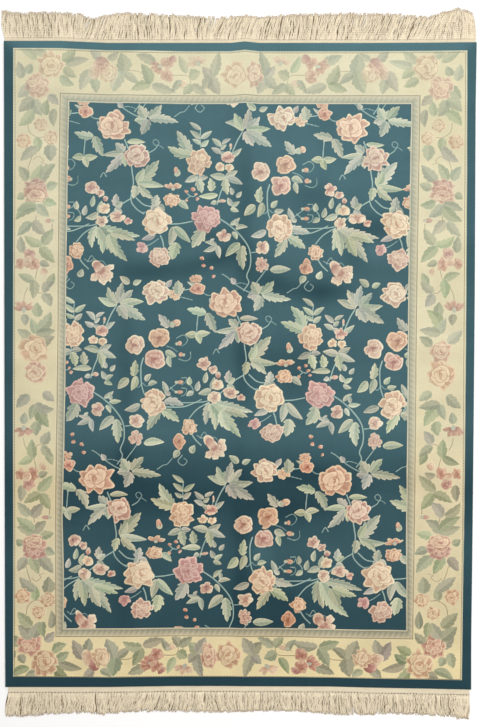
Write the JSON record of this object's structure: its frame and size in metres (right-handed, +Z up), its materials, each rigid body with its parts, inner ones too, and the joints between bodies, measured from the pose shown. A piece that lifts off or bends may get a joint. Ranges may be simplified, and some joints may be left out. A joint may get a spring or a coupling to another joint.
{
  "type": "kashan rug",
  "caption": "Rectangular pile rug lying flat, with an all-over floral field, a cream floral border and a warp fringe at each end.",
  "frame": {"origin": "middle of the rug's plan, on the floor that it lies on", "axes": "+Y along the rug's length towards the picture's top end, +X across its width, +Z up out of the pile"},
  "size_m": [1.8442, 2.7728, 0.0161],
  "materials": {
    "wool_pile": "matt wool pile: teal field with a rose and leaf repeat, cream border, teal edge",
    "cotton_warp": "matt cream cotton, plied"
  },
  "bodies": {
    "root": {"rug_body": "wool_pile", "fringe_near": "cotton_warp", "fringe_far": "cotton_warp"}
  },
  "joints": []
}
